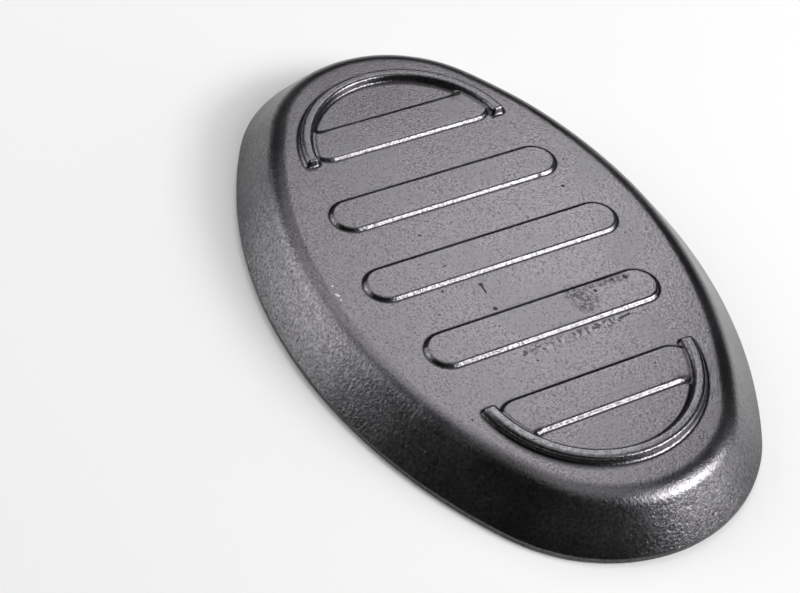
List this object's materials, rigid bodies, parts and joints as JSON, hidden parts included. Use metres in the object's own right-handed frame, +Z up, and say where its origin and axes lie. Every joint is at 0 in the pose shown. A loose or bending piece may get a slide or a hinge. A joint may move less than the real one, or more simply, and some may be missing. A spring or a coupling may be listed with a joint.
{
  "type": "sizzle platter",
  "caption": "Oval cast-iron sizzle platter shown upside down: flared wall, rounded shoulder, flat underside with low cross bars and arched feet.",
  "frame": {"origin": "middle of the oval, in the plane that the rim rests on, with the platter upside down as pictured", "axes": "+X along the length towards the end nearer the camera, +Y across the width, +Z up through the flat underside, away from the dish"},
  "size_m": [0.28, 0.175, 0.0241],
  "materials": {
    "iron": "satin black sand-cast iron, seasoned, finely grained"
  },
  "bodies": {
    "root": {"platter": "iron"}
  },
  "joints": []
}
